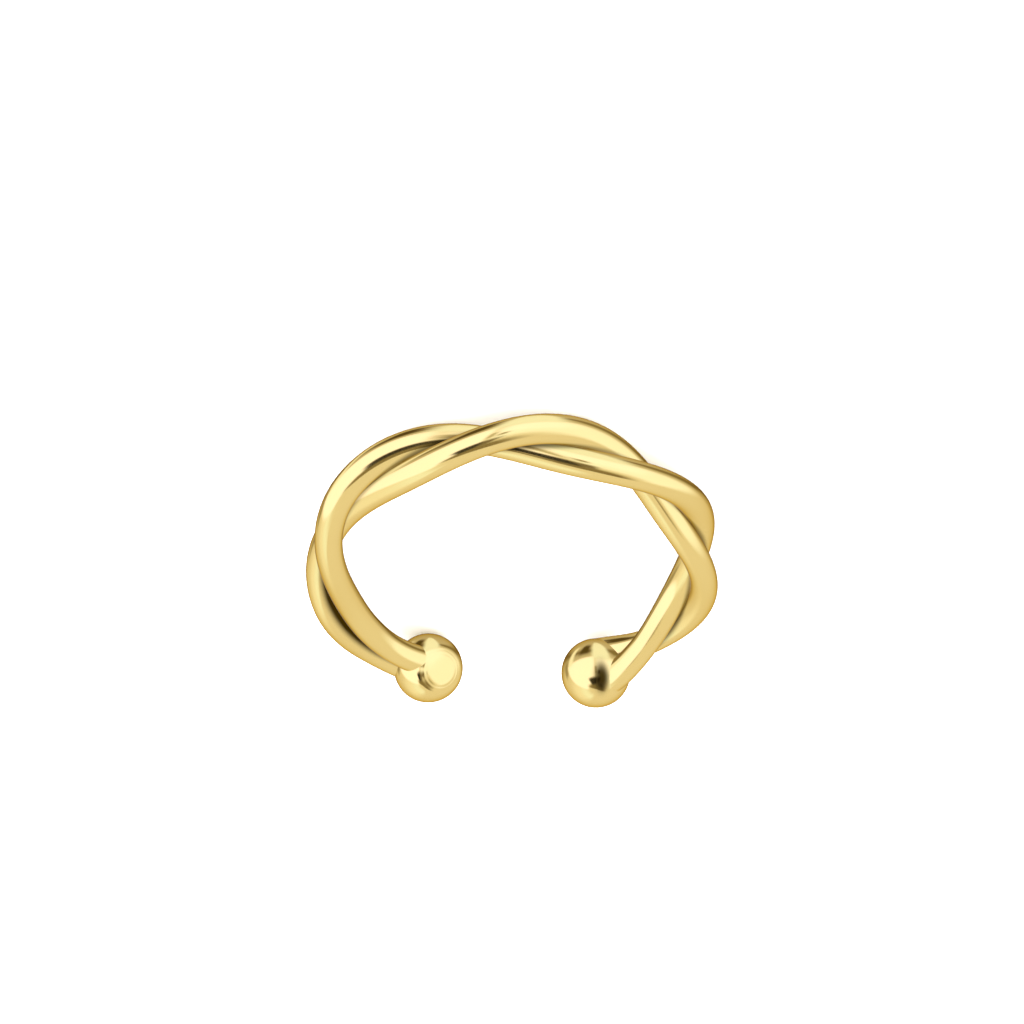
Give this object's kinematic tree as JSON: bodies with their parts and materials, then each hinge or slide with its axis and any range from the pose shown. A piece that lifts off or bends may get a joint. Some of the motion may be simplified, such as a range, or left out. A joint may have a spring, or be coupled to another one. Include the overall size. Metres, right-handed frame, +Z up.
{
  "type": "ear cuff",
  "caption": "Open ring ear cuff of two twisted round wires with a ball on each end, polished pale gold, no piercing needed.",
  "frame": {"origin": "on the table, under the middle of the cuff's box; the cuff lies on its side, as it rests by itself", "axes": "+X across the cuff, its longest extent; +Y out through the gap between the two balls; +Z up, through the ring"},
  "size_m": [0.011, 0.0108, 0.0021],
  "materials": {
    "gold": "polished pale yellow gold plate"
  },
  "bodies": {
    "root": {"twisted_cuff": "gold"}
  },
  "joints": []
}
